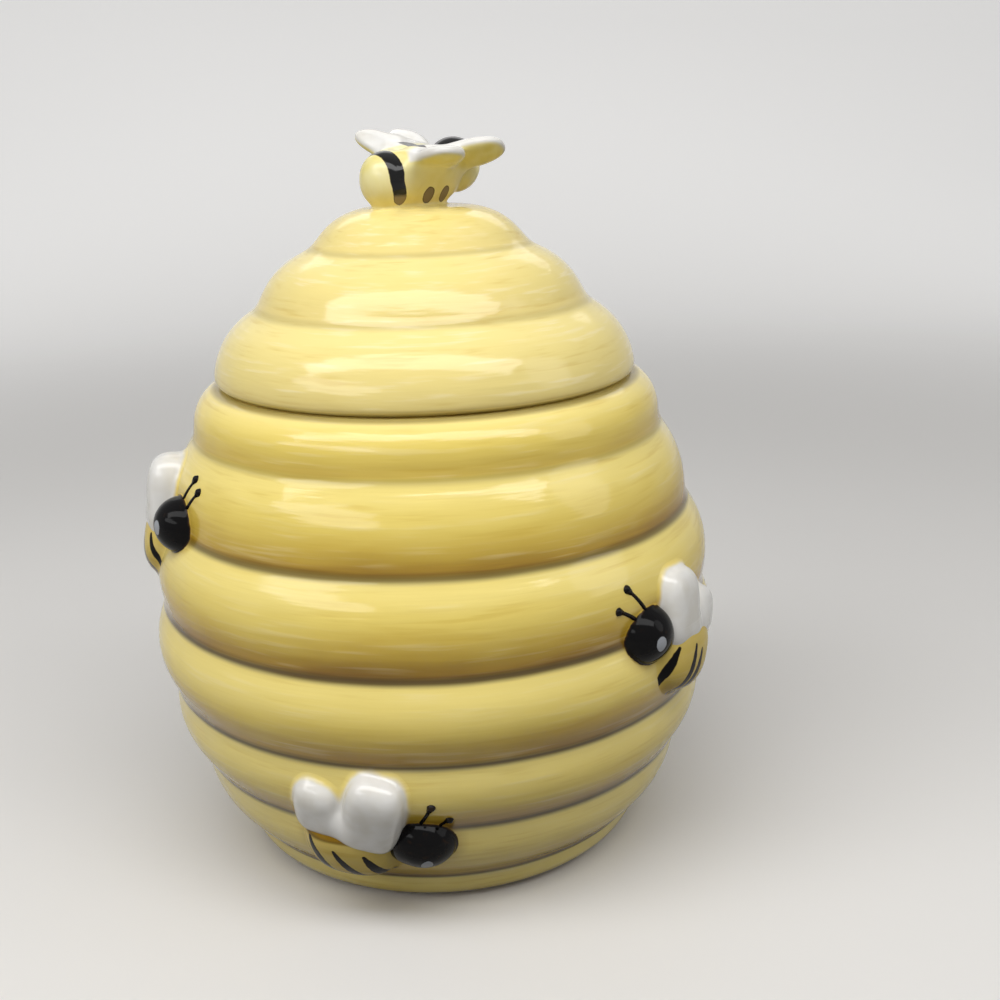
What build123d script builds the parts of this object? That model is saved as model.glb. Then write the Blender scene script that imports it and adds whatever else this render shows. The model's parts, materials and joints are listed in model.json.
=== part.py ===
from build123d import *
from math import atan2, cos, radians, sin, sqrt
import os

# Lidded cookie jar of glazed stoneware in the shape of a straw beehive. Three bees sit on the
# jar's coils, and a fourth bee on the lid is its knob. Lengths are in mm, +Z is up, and the
# origin is on the hive's axis where the foot ring meets the table. -Y is the front.

os.makedirs("parts", exist_ok=True)

# Hive outline: the radius of the grooves between the coils, at any height
hive_radius = 97.0
widest_height = 85.0
crown_power = 1.6
base_power = 2.0
closing_depth = 28.0  # how far below the table the lower outline would close
lid_top_radius = 15.0

# Coils as (height, bulge past the chord between two grooves), from the foot up
jar_coils = [(13.0, 3.8), (26.0, 4.0), (25.0, 4.0), (29.0, 5.0), (30.0, 4.5), (27.0, 3.0), (17.0, 3.2)]
lid_coils = [(24.5, 4.5), (19.0, 3.5), (13.5, 3.6)]
groove_softness = 1.5

# Pottery walls
jar_wall = 5.0
lid_wall = 5.0
inner_bulge = 2.0
floor_thickness = 5.5
foot_width = 6.0
foot_recess = 2.5

# Mouth, seat and lid rim
mouth_radius = 61.5
neck_height = 8.0
seat_edge_radius = 1.0
lid_rim_radius = 2.0
flange_clearance = 1.5
flange_thickness = 4.5
flange_depth = 10.0

# Relief bees: where each one sits on the hive, which way it faces as seen from outside, how
# far it is turned nose up, how high its wings sit on it, and the root and tip of each antenna,
# forward and up from its head
relief_bees = {
    "left": {
        "azimuth": -170.0,
        "height": 127.0,
        "facing": 1,
        "nose_up": 0.0,
        "wing_height": 1.5,
        "antennae": [((5.0, 8.0), (18.0, 17.0)), ((8.0, 5.0), (21.0, 13.0))],
    },
    "right": {
        "azimuth": -37.0,
        "height": 94.5,
        "facing": -1,
        "nose_up": 0.0,
        "wing_height": 1.5,
        "antennae": [((1.5, 9.0), (10.0, 18.0)), ((7.0, 7.0), (14.5, 11.5))],
    },
    "front": {
        "azimuth": -106.0,
        "height": 41.5,
        "facing": 1,
        "nose_up": -20.0,
        "wing_height": 4.5,
        "antennae": [((-3.0, 8.0), (-1.5, 18.0)), ((3.0, 8.0), (6.0, 14.5))],
    },
}

# Relief bee: the place of each piece forward and up from the bee's middle, its half sizes, and
# how deep its own middle lies under the grooves' outline
head_place = (17.5, -1.0)
head_radius = 12.0
head_sink = 4.0
body_place = (-2.5, -15.0)
body_half_length = 16.0
body_radius = 12.0
body_sink = 3.0
body_droop = 35.0
fore_wing_forward = 2.0
fore_wing_half_length = 16.0
fore_wing_radius = 10.0
fore_wing_sink = 0.0
fore_wing_lean = 6.0
hind_wing_forward = -15.0
hind_wing_half_length = 14.0
hind_wing_radius = 8.5
hind_wing_sink = 0.5
hind_wing_lean = 18.0
hind_wing_drop = 4.0  # below the fore wing's middle
antenna_radius = 0.9
antenna_tip_radius = 1.6
antenna_rise = 0.3  # of its axis over the coils

# Bee on the lid, the knob: its heading from +X, then sizes forward and up from where it sits
knob_heading = 38.0
knob_offset = (-2.0, -2.5)
knob_body_half_length = 18.6
knob_body_radius = 9.5
knob_body_sink = 1.0
knob_pad_half_length = 14.0
knob_pad_half_width = 6.0
knob_head_radius = 9.3
knob_head_place = (18.3, 0.0, 12.5)

# Knob wings: paddles from a narrow root to a round tip. Each is swept back from the heading, in a
# plane that rises to its own side of the body
knob_wing_root = (4.0, 0.0, 13.5)
knob_wing_root_radius = 4.5
knob_wing_tip_radius = 7.0
knob_wing_thickness = 4.6
knob_wing_edge = 1.5
knob_wings = {
    "left_fore_wing": {"side": 1, "sweep": 62.0, "rise": 23.0, "length": 29.0},
    "left_hind_wing": {"side": 1, "sweep": 107.0, "rise": 23.0, "length": 27.0},
    "right_fore_wing": {"side": -1, "sweep": 56.0, "rise": 15.0, "length": 29.0},
    "right_hind_wing": {"side": -1, "sweep": 110.0, "rise": 11.0, "length": 28.0},
}

seat_height = sum(height for height, bulge in jar_coils)
crown_height = seat_height + sum(height for height, bulge in lid_coils)


# Hive outline
def outline_radius(height):
    if height > widest_height:
        rise = (height - widest_height) / (crown_height - widest_height)
        return hive_radius * sqrt(1 - rise**crown_power)
    drop = (widest_height - height) / (widest_height + closing_depth)
    return hive_radius * sqrt(1 - drop**base_power)


def outline_slope(height):
    step = 0.5
    return (outline_radius(height + step) - outline_radius(height - step)) / (2 * step)


def groove_points(base, coils):
    points = [Vector(outline_radius(base), base)]
    for height, bulge in coils:
        base = base + height
        points.append(Vector(outline_radius(base), base))
    return points


def inset(point, wall):
    normal = Vector(1, -outline_slope(point.Y)).normalized()
    return point - normal * wall


def bulged_arc(start, end, bulge):
    chord = end - start
    outward = Vector(chord.Y, -chord.X).normalized()
    ThreePointArc(start, (start + end) / 2 + outward * bulge, end)


jar_grooves = groove_points(0, jar_coils)
lid_grooves = groove_points(seat_height, lid_coils[:-1]) + [Vector(lid_top_radius, crown_height)]
foot_radius = jar_grooves[0].X


def coil_arcs(grooves, coils):
    for start, end, (height, bulge) in zip(grooves, grooves[1:], coils):
        bulged_arc(start, end, bulge)


def soften(section, points, radius):
    """Round the corners of a section that lie at the given points."""
    for point in points:
        fillet(section.vertices().sort_by_distance(point)[0], radius)


# Solid form of the closed hive, which the bees are cut to
with BuildPart() as hive_form:
    with BuildSketch(Plane.XZ) as hive_section:
        with BuildLine():
            Line((0, 0), jar_grooves[0])
            coil_arcs(jar_grooves, jar_coils)
            coil_arcs(lid_grooves, lid_coils)
            Line(lid_grooves[-1], (0, crown_height))
            Line((0, crown_height), (0, 0))
        make_face()
        soften(hive_section, jar_grooves[1:-1] + lid_grooves[1:-1], groove_softness)
    revolve(axis=Axis.Z)


# Jar: a hollow shell with a foot ring, a narrowed mouth and a flat seat for the lid
foot_inner = Vector(foot_radius - foot_width, 0)
floor_corner = Vector(foot_radius, foot_recess + floor_thickness)
neck_base = Vector(mouth_radius, seat_height - neck_height)
mouth_edge = Vector(mouth_radius, seat_height)
jar_inner = [floor_corner] + [inset(point, jar_wall) for point in jar_grooves[2:-1]] + [neck_base]

with BuildPart() as jar_shell:
    with BuildSketch(Plane.XZ) as jar_section:
        with BuildLine():
            Line(foot_inner, jar_grooves[0])
            coil_arcs(jar_grooves, jar_coils)
            Line(jar_grooves[-1], mouth_edge)
            Line(mouth_edge, neck_base)
            for start, end in zip(jar_inner, jar_inner[1:]):
                bulged_arc(start, end, inner_bulge)
            Line(floor_corner, (0, floor_corner.Y))
            Line((0, floor_corner.Y), (0, foot_recess))
            Line((0, foot_recess), (foot_inner.X, foot_recess))
            Line((foot_inner.X, foot_recess), foot_inner)
        make_face()
        soften(jar_section, jar_grooves[1:-1], groove_softness)
        soften(jar_section, [jar_grooves[-1], mouth_edge], seat_edge_radius)
    revolve(axis=Axis.Z)
jar_shell.part.label = "jar_shell"
export_step(jar_shell.part, "parts/jar_shell.step")


# Lid: a hollow dome of three coils, with a flange that drops into the mouth
flange_radius = mouth_radius - flange_clearance
flange_bore = flange_radius - flange_thickness
flange_base = seat_height - flange_depth
ceiling_edge = Vector(lid_top_radius, crown_height - lid_wall)
lid_inner = [Vector(flange_bore, seat_height)]
lid_inner += [inset(point, lid_wall) for point in lid_grooves[1:-1]]
lid_inner += [ceiling_edge]

with BuildPart() as lid_shell:
    with BuildSketch(Plane.XZ) as lid_section:
        with BuildLine():
            Line((flange_radius, seat_height), lid_grooves[0])
            coil_arcs(lid_grooves, lid_coils)
            Line(lid_grooves[-1], (0, crown_height))
            Line((0, crown_height), (0, ceiling_edge.Y))
            Line((0, ceiling_edge.Y), ceiling_edge)
            for start, end in zip(lid_inner, lid_inner[1:]):
                bulged_arc(start, end, inner_bulge)
            Line(lid_inner[0], (flange_bore, flange_base))
            Line((flange_bore, flange_base), (flange_radius, flange_base))
            Line((flange_radius, flange_base), (flange_radius, seat_height))
        make_face()
        soften(lid_section, lid_grooves[1:-1], groove_softness)
        soften(lid_section, [lid_grooves[0]], lid_rim_radius)
    revolve(axis=Axis.Z)
lid_shell.part.label = "lid_shell"
export_step(lid_shell.part, "parts/lid_shell.step")


# Places and shapes on a bee
def turned_plane(base, place, angle):
    """Plane at a place in the base plane, with its x axis turned by an angle in degrees."""
    along = base.x_dir * cos(radians(angle)) + base.y_dir * sin(radians(angle))
    return Plane(origin=base.from_local_coords(place), x_dir=along, z_dir=base.z_dir)


def outline_plane(azimuth, height, heading):
    """Plane on the hive's outline with z outwards and x as near to the heading as it can be."""
    level = Vector(cos(azimuth), sin(azimuth), 0)
    outward = (level - Vector(0, 0, outline_slope(height))).normalized()
    origin = level * outline_radius(height) + Vector(0, 0, height)
    return Plane(origin=origin, x_dir=heading - outward * heading.dot(outward), z_dir=outward)


def bee_plane(azimuth, height, facing, nose_up):
    """Plane at a bee's middle, with x along its nose and z outwards from the hive."""
    turn = radians(azimuth)
    level = outline_plane(turn, height, Vector(-sin(turn), cos(turn), 0) * facing)
    return turned_plane(level, (0, 0, 0), facing * nose_up)


def piece_plane(bee, facing, place, sink):
    """Plane at a piece's middle, which follows the hive's outline away from the bee's middle."""
    forward, up = place
    near = bee.from_local_coords((forward, facing * up, 0))
    follow = outline_plane(atan2(near.Y, near.X), near.Z, bee.x_dir)
    return Plane(origin=follow.origin - follow.z_dir * sink, x_dir=follow.x_dir, z_dir=follow.z_dir)


def over_coils(point, rise):
    """The point at a rise over the jar's coils, at the same height and azimuth as a point."""
    for start, end, (height, bulge) in zip(jar_grooves, jar_grooves[1:], jar_coils):
        if start.Y <= point.Z <= end.Y:
            chord = end - start
            outward = Vector(chord.Y, -chord.X).normalized()
            arc_radius = (chord.length**2 / 4 + bulge**2) / (2 * bulge)
            centre = (start + end) / 2 + outward * (bulge - arc_radius)
            radius = centre.X + sqrt(arc_radius**2 - (point.Z - centre.Y) ** 2)
    level = Vector(point.X, point.Y, 0).normalized() * (radius + rise)
    return Vector(level.X, level.Y, point.Z)


def pill(plane, half_length, radius):
    """Round-ended bar turned about the plane's x axis, inside the piece that is being built."""
    straight = half_length - radius
    with BuildSketch(plane) as half_pill:
        with BuildLine():
            Line((-half_length, 0), (half_length, 0))
            CenterArc((straight, 0), radius, 0, 90)
            Line((straight, radius), (-straight, radius))
            CenterArc((-straight, 0), radius, 90, 90)
        make_face()
    revolve(half_pill.sketch, axis=Axis(plane.origin, plane.x_dir))


def antenna(root, tip):
    """Rod with a ball at its tip, turned about its axis inside the piece that is being built."""
    along = tip - root
    ball_end = along.length + antenna_tip_radius
    ball_start = along.length - sqrt(antenna_tip_radius**2 - antenna_radius**2)
    turning_plane = Plane(origin=root, x_dir=along, z_dir=along.cross(Vector(root.X, root.Y, 0)))
    with BuildSketch(turning_plane) as half_antenna:
        with BuildLine():
            Line((0, 0), (0, antenna_radius))
            Line((0, antenna_radius), (ball_start, antenna_radius))
            ThreePointArc((ball_start, antenna_radius), (along.length, antenna_tip_radius), (ball_end, 0))
            Line((ball_end, 0), (0, 0))
        make_face()
    revolve(half_antenna.sketch, axis=Axis(root, along))


def cut_piece(form, neighbours):
    """The part of a form that its neighbours' forms leave free."""
    with BuildPart() as piece:
        add(form.part)
        for neighbour in neighbours:
            add(neighbour.part, mode=Mode.SUBTRACT)
    return piece


def write_piece(piece, name):
    piece.part.label = name
    export_step(piece.part, f"parts/{name}.step")


# Relief bees. A bee's plane has x along its nose, so its y points up where the bee faces right, and
# down where it faces left. Each piece starts as a whole form and is then cut free of the forms
# before it and of the hive, so that the pieces meet face to face.
def head_form(bee, facing):
    with BuildPart() as head:
        with Locations(piece_plane(bee, facing, head_place, head_sink)):
            Sphere(head_radius)
    return head


def body_form(bee, facing):
    middle = piece_plane(bee, facing, body_place, body_sink)
    with BuildPart() as body:
        pill(turned_plane(middle, (0, 0, 0), facing * body_droop), body_half_length, body_radius)
    return body


def fore_wing_form(bee, facing, wing_height):
    middle = piece_plane(bee, facing, (fore_wing_forward, wing_height), fore_wing_sink)
    with BuildPart() as wing:
        upright = turned_plane(middle, (0, 0, 0), facing * (90 + fore_wing_lean))
        pill(upright, fore_wing_half_length, fore_wing_radius)
    return wing


def hind_wing_form(bee, facing, wing_height):
    middle = piece_plane(bee, facing, (hind_wing_forward, wing_height - hind_wing_drop), hind_wing_sink)
    with BuildPart() as wing:
        upright = turned_plane(middle, (0, 0, 0), facing * (90 + hind_wing_lean))
        pill(upright, hind_wing_half_length, hind_wing_radius)
    return wing


def antennae_form(bee, facing, strokes):
    head_forward, head_up = head_place
    with BuildPart() as antennae:
        for stroke in strokes:
            ends = [(head_forward + forward, head_up + up) for forward, up in stroke]
            seats = [piece_plane(bee, facing, end, 0).origin for end in ends]
            antenna(*[over_coils(seat, antenna_rise) for seat in seats])
    return antennae


for bee_name, site in relief_bees.items():
    facing = site["facing"]
    bee = bee_plane(site["azimuth"], site["height"], facing, site["nose_up"])
    forms = {
        "head": head_form(bee, facing),
        "body": body_form(bee, facing),
        "fore_wing": fore_wing_form(bee, facing, site["wing_height"]),
        "hind_wing": hind_wing_form(bee, facing, site["wing_height"]),
        "antennae": antennae_form(bee, facing, site["antennae"]),
    }
    neighbours = []
    for piece_name, form in forms.items():
        write_piece(cut_piece(form, [*neighbours, hive_form]), f"{bee_name}_bee_{piece_name}")
        neighbours.append(form)


# Bee on the lid: a round-ended body on a low pad, a ball head and four spread wings
knob_turn = radians(knob_heading)
knob_plane = Plane(
    origin=(*knob_offset, crown_height), x_dir=(cos(knob_turn), sin(knob_turn), 0), z_dir=(0, 0, 1)
)
knob_axis_height = knob_body_radius - knob_body_sink

with BuildPart() as knob_body_form:
    pill(turned_plane(knob_plane, (0, 0, knob_axis_height), 0), knob_body_half_length, knob_body_radius)
    with BuildSketch(knob_plane):
        Ellipse(knob_pad_half_length, knob_pad_half_width)
    extrude(amount=knob_axis_height)

with BuildPart() as knob_head_form:
    with Locations(knob_plane):
        with Locations(knob_head_place):
            Sphere(knob_head_radius)


def knob_wing_form(side, sweep, rise, length):
    """Wing on the bee's left (side 1) or right (side -1), in a plane that rises on that side."""
    tilt = radians(rise) * side
    across = knob_plane.y_dir * cos(tilt) + knob_plane.z_dir * sin(tilt)
    wing_normal = knob_plane.z_dir * cos(tilt) - knob_plane.y_dir * sin(tilt)
    along = knob_plane.x_dir * cos(radians(sweep)) + across * (side * sin(radians(sweep)))
    wing_plane = Plane(origin=knob_plane.from_local_coords(knob_wing_root), x_dir=along, z_dir=wing_normal)
    with BuildPart() as wing:
        with BuildSketch(wing_plane):
            with Locations((knob_wing_root_radius, 0)):
                Circle(knob_wing_root_radius)
            with Locations((length - knob_wing_tip_radius, 0)):
                Circle(knob_wing_tip_radius)
            make_hull()
        extrude(amount=knob_wing_thickness / 2, both=True)
        fillet(wing.edges(), knob_wing_edge)
    return wing


knob_forms = {"body": knob_body_form, "head": knob_head_form}
for wing_name, wing in knob_wings.items():
    knob_forms[wing_name] = knob_wing_form(wing["side"], wing["sweep"], wing["rise"], wing["length"])
neighbours = [lid_shell]
for piece_name, form in knob_forms.items():
    write_piece(cut_piece(form, neighbours), f"lid_bee_{piece_name}")
    neighbours.append(form)
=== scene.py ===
import json
from math import atan2, cos, pi, radians, sin, sqrt

import bpy
import numpy as np
import openvdb
from mathutils import Matrix, Vector

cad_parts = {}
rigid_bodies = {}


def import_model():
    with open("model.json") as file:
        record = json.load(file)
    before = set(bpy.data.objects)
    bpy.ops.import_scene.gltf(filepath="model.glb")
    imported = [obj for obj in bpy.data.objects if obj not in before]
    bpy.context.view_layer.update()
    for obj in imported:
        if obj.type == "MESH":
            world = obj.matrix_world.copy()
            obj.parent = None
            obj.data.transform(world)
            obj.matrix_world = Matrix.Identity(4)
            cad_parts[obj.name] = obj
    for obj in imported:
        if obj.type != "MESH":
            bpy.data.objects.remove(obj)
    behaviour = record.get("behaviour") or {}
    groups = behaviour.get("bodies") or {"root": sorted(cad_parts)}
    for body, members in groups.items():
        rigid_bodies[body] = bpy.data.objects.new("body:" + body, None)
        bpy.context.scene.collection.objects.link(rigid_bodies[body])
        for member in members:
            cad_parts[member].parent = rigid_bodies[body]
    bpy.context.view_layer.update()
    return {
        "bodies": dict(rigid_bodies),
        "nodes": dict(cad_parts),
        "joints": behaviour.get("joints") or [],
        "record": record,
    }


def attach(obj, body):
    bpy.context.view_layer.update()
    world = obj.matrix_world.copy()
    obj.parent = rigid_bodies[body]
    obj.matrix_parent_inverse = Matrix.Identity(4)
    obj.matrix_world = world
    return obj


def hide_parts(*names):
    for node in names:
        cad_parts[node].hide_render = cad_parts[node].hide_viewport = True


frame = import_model()

# Yellow glaze
# The potter brushes a honey glaze round the coils in level strokes, over a white body. It thins
# on the ridges, pools brown in the grooves, and fires to a hard gloss with shallow ripples. Its
# colours also hold painted light: paler tops of the coils for the light from above, and painted
# shade under each coil and in its grooves, deeper down the jar.
MM = 0.001


def add_node(tree, kind, sockets=None, **settings):
    """Node of a kind. Sockets maps an input's name or number to a value or to another output."""
    made = tree.nodes.new(kind)
    for name, value in settings.items():
        setattr(made, name, value)
    for name, value in (sockets or {}).items():
        if isinstance(value, bpy.types.NodeSocket):
            tree.links.new(value, made.inputs[name])
        else:
            made.inputs[name].default_value = value
    return made


def calculate(tree, operation, *values):
    sockets = dict(enumerate(values))
    return add_node(tree, "ShaderNodeMath", sockets, operation=operation).outputs[0]


def times(tree, first, second):
    return calculate(tree, "MULTIPLY", first, second)


def swing(tree, noisy, width):
    """A noise from 0 to 1 as a swing of a given width round zero."""
    return calculate(tree, "MULTIPLY_ADD", noisy, width, -width / 2)


def calculate_vector(tree, operation, *vectors, scale=None):
    """Result of a sum on vectors, which is a number for LENGTH and a vector otherwise."""
    sockets = dict(enumerate(vectors))
    if scale is not None:
        sockets["Scale"] = scale
    outputs = add_node(tree, "ShaderNodeVectorMath", sockets, operation=operation).outputs
    return outputs["Value" if operation == "LENGTH" else "Vector"]


def height_of(tree, place):
    return add_node(tree, "ShaderNodeSeparateXYZ", {0: place}).outputs["Z"]


def level_part(tree, place):
    """A place without its height, which gives its way and reach from the jar's axis."""
    return calculate_vector(tree, "MULTIPLY", place, (1, 1, 0))


def ramp(tree, value, low, high):
    """0 below low, 1 above high and a smooth rise between them; low may be above high."""
    sockets = {"Value": value, "From Min": low, "From Max": high}
    return add_node(tree, "ShaderNodeMapRange", sockets, interpolation_type="SMOOTHSTEP").outputs[0]


def blend_colours(tree, factor, first, second):
    sockets = {0: factor, 6: first, 7: second}
    return add_node(tree, "ShaderNodeMix", sockets, data_type="RGBA").outputs[2]


def attribute(tree, name):
    return add_node(tree, "ShaderNodeAttribute", attribute_name=name).outputs["Fac"]


def noise(tree, vector, scale, detail=2.0, distortion=0.0):
    sockets = {"Vector": vector, "Scale": scale, "Detail": detail, "Distortion": distortion}
    return add_node(tree, "ShaderNodeTexNoise", sockets).outputs["Fac"]


def colour(red, green, blue):
    """Linear colour of a paint given as it looks, from 0 to 255."""
    shares = [value / 255 for value in (red, green, blue)]
    return [s / 12.92 if s <= 0.04045 else ((s + 0.055) / 1.055) ** 2.4 for s in shares] + [1.0]


# Glaze tones from the top of a coil down to its groove. Besides the glaze's own thin and pooled colours they
# hold painted light: the pale top stands partly for the light from above, and the low and pooled tones stand
# partly for painted shade under the coil.
glaze_top = colour(240, 219, 128)
glaze_honey = colour(231, 206, 102)
glaze_low = colour(203, 165, 46)
pooled_glaze_and_shade = colour(146, 104, 14)
seam_glaze_and_shade = colour(60, 34, 2)
glaze_lemon = colour(240, 223, 152)
glaze_streak = colour(247, 232, 182)
stroke_turns = 1.7  # how fast a stroke changes round the jar
stroke_width = 6.5 * MM
bristle_turns = 3.4
bristle_width = 1.7 * MM
cloud_scale = 22.0
ripple_scale = 60.0
lid_zone = (162 * MM, 170 * MM)  # between these heights the glaze turns to the lid's paler one
lemon_share = 0.65
pool_and_shade_zone = (160 * MM, 108 * MM)  # between these heights pooled glaze and painted shade deepen, down the jar
least_pool_and_shade = 0.24
pool_and_shade_gain = 0.70
thick_share = 0.28
seam_share = 0.95
bee_shade = 0.35  # share of painted shade, in the pooled glaze's tone, round the foot of a bee


def brush_path(tree, place, turns, width):
    """Coordinates that run slowly round the jar and fast across its coils, as brush strokes do."""
    around = calculate_vector(tree, "NORMALIZE", level_part(tree, place))
    slow = calculate_vector(tree, "SCALE", around, scale=turns)
    across = calculate(tree, "DIVIDE", attribute(tree, "brush_level"), width)
    across = add_node(tree, "ShaderNodeCombineXYZ", {"Z": across}).outputs[0]
    return calculate_vector(tree, "ADD", slow, across)


def honey_glaze(tree, place):
    """Brushed yellow glaze, pale at the top of each coil and darker at its foot: partly glaze that
    runs down and pools, partly painted light from above and painted shade below.
    """
    height = height_of(tree, place)
    broad = noise(tree, place, cloud_scale)
    strokes = noise(tree, brush_path(tree, place, stroke_turns, stroke_width), 1.0, distortion=0.4)
    bristles = noise(tree, brush_path(tree, place, bristle_turns, bristle_width), 1.0)
    uneven = calculate(tree, "ADD", swing(tree, strokes, 0.30), swing(tree, broad, 0.30))
    level = calculate(tree, "ADD", attribute(tree, "flow"), uneven)
    on_lid = ramp(tree, height, *lid_zone)
    # Darker down the jar: deeper pooled glaze and painted shade under the lower coils
    pooling_and_shade = calculate(tree, "MULTIPLY_ADD", ramp(tree, height, *pool_and_shade_zone), pool_and_shade_gain, least_pool_and_shade)
    # Pale top and darker foot of each coil: thin and pooled glaze, with painted light and painted shade
    tone = blend_colours(tree, ramp(tree, level, 0.42, 0.86), glaze_honey, glaze_top)
    low = times(tree, ramp(tree, level, 0.56, 0.16), pooling_and_shade)
    tone = blend_colours(tree, low, tone, glaze_low)
    pooled_and_shaded = times(tree, ramp(tree, level, 0.30, -0.04), pooling_and_shade)
    tone = blend_colours(tree, pooled_and_shaded, tone, pooled_glaze_and_shade)
    tone = blend_colours(tree, times(tree, on_lid, lemon_share), tone, glaze_lemon)
    streaks = times(tree, ramp(tree, bristles, 0.50, 0.72), ramp(tree, strokes, 0.42, 0.60))
    streaks = times(tree, streaks, calculate(tree, "MULTIPLY_ADD", on_lid, 0.30, 0.22))
    tone = blend_colours(tree, streaks, tone, glaze_streak)
    thick = times(tree, ramp(tree, bristles, 0.50, 0.28), ramp(tree, strokes, 0.56, 0.40))
    tone = blend_colours(tree, times(tree, thick, thick_share), tone, glaze_low)
    # Dark seam in each groove: pooled glaze and painted shade in the crease, deeper down the jar
    seam = calculate(tree, "ADD", attribute(tree, "ridge"), swing(tree, strokes, 0.12))
    seam = times(tree, ramp(tree, seam, 0.32, 0.02), pooling_and_shade)
    tone = blend_colours(tree, times(tree, seam, seam_share), tone, seam_glaze_and_shade)
    # Painted shade round the foot of each bee, on the jar and on the bee's own skirt
    tone = blend_colours(tree, times(tree, attribute(tree, "near_bee"), bee_shade), tone, pooled_glaze_and_shade)
    ripples = noise(tree, place, ripple_scale, detail=1.0)
    relief = calculate(tree, "MULTIPLY_ADD", strokes, 0.45, times(tree, ripples, 0.9))
    return tone, calculate(tree, "MULTIPLY_ADD", bristles, 0.20, relief)


def finish_glaze(material, tone, relief, ripple=0.45 * MM, shine=0.40, gloss=0.10):
    """Glossy fired surface of a colour, whose ripples follow the relief."""
    tree = material.node_tree
    bump = add_node(tree, "ShaderNodeBump", {"Height": relief, "Distance": ripple, "Strength": 1.0})
    shader = tree.nodes["Principled BSDF"]
    tree.links.new(tone, shader.inputs["Base Color"])
    tree.links.new(bump.outputs[0], shader.inputs["Normal"])
    shader.inputs["Roughness"].default_value = gloss
    shader.inputs["Specular IOR Level"].default_value = shine
    return material


def new_material(name):
    material = bpy.data.materials.new(name)
    material.use_nodes = True
    return material


# Coiled jar
# One slip-cast stoneware pot: seven coils over a foot ring, and a flat seat round its mouth for
# the lid. It is turned here from its section, whose coils swell between one groove and the next.
hive_radius = 97.0
widest_height = 85.0
crown_power = 1.6
base_power = 2.0
closing_depth = 28.0
lid_top_radius = 15.0
# Coils as (height, bulge past the line between two grooves), from the foot up
jar_coils = [(13.0, 3.8), (26.0, 4.0), (25.0, 4.0), (29.0, 5.0), (30.0, 4.5), (27.0, 3.0), (17.0, 3.2)]
lid_coils = [(24.5, 4.5), (19.0, 3.5), (13.5, 3.6)]
wall = 5.0
inner_bulge = 2.0
foot_width = 6.0
foot_recess = 2.5
floor_thickness = 5.5
mouth_radius = 61.5
neck_height = 8.0
seat_height = sum(height for height, bulge in jar_coils)
crown_height = seat_height + sum(height for height, bulge in lid_coils)
fine_step = 1.2
coarse_step = 4.0
ring_steps = 320
wheel_radius = 50.0
softening_passes = 6
join_gap = 0.01
close_gap = 0.005
waver_depth = 0.6 * MM
waver_drift = 0.9 * MM
waver_scale = 17.0
waver_seed = (3.1, 0.7, 5.2)


def outline_radius(height):
    rise = max(height - widest_height, 0) / (crown_height - widest_height)
    drop = max(widest_height - height, 0) / (widest_height + closing_depth)
    return hive_radius * sqrt((1 - rise**crown_power) * (1 - drop**base_power))


def outline_slope(height):
    step = 0.5
    return (outline_radius(height + step) - outline_radius(height - step)) / (2 * step)


def groove_points(base, coils):
    points = [np.array([outline_radius(base), base])]
    for height, bulge in coils:
        base = base + height
        points.append(np.array([outline_radius(base), base]))
    return points


def inset(point):
    outward = np.array([1, -outline_slope(point[1])])
    return point - outward / np.linalg.norm(outward) * wall


def section_stretch(start, end, bulge=0.0, coil=0.0, inside=0.0, step=fine_step):
    """One stretch of a pot's section, which swells by its bulge to the left of its way."""
    along = np.subtract(end, start)
    left = np.array([-along[1], along[0]]) / np.linalg.norm(along)
    return {"start": start, "end": end, "bulge": left * bulge, "coil": coil, "inside": inside, "step": step}


def stretches_along(points, bulge=0.0, **facts):
    """Stretches along a line of points, with one bulge for all of them or one for each."""
    bulges = np.broadcast_to(bulge, len(points) - 1)
    return [section_stretch(start, end, own, **facts) for start, end, own in zip(points, points[1:], bulges)]


def section_mesh(name, stretches):
    """The section's corners as a chain of edges, which carry what each stretch is like."""
    corners = [stretch["start"] for stretch in stretches] + [stretches[-1]["end"]]
    mesh = bpy.data.meshes.new(name)
    chain = [(i, i + 1) for i in range(len(stretches))]
    mesh.from_pydata([(radius * MM, 0, height * MM) for radius, height in corners], chain, [])
    bulges = mesh.attributes.new("bulge", "FLOAT_VECTOR", "EDGE")
    bulges.data.foreach_set("vector", [c * MM for s in stretches for c in (s["bulge"][0], 0, s["bulge"][1])])
    for fact in ("coil", "inside", "step"):
        values = mesh.attributes.new(fact, "FLOAT", "EDGE")
        values.data.foreach_set("value", [stretch[fact] for stretch in stretches])
    return mesh


def named(tree, name, data_type="FLOAT"):
    node = add_node(tree, "GeometryNodeInputNamedAttribute", {"Name": name}, data_type=data_type)
    return node.outputs["Attribute"]


def new_tree(name, wanted, result):
    """Geometry tree with one result, and its named inputs as the nodes in it read them."""
    tree = bpy.data.node_groups.new(name, "GeometryNodeTree")
    for label, kind, value in wanted:
        socket = tree.interface.new_socket(label, in_out="INPUT", socket_type=kind)
        if value is not None:
            socket.default_value = value
    tree.interface.new_socket(result, in_out="OUTPUT", socket_type="NodeSocketGeometry")
    return tree, tree.nodes.new("NodeGroupInput").outputs


def store(tree, geometry, name, value):
    sockets = {"Geometry": geometry, "Name": name, "Value": value}
    return add_node(tree, "GeometryNodeStoreNamedAttribute", sockets, domain="POINT").outputs[0]


def reposition(tree, geometry, **sockets):
    return add_node(tree, "GeometryNodeSetPosition", {"Geometry": geometry, **sockets}).outputs[0]


def merge(tree, geometry, distance):
    sockets = {"Geometry": geometry, "Distance": distance}
    return add_node(tree, "GeometryNodeMergeByDistance", sockets).outputs[0]


def end_tree(tree, geometry, glaze):
    """The last nodes of a tree: its geometry made real and glazed."""
    real = add_node(tree, "GeometryNodeRealizeInstances", {"Geometry": geometry})
    glazed = add_node(tree, "GeometryNodeSetMaterial", {"Geometry": real.outputs[0], "Material": glaze})
    out = tree.nodes.new("NodeGroupOutput")
    tree.links.new(glazed.outputs[0], out.inputs[0])
    return tree


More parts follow.
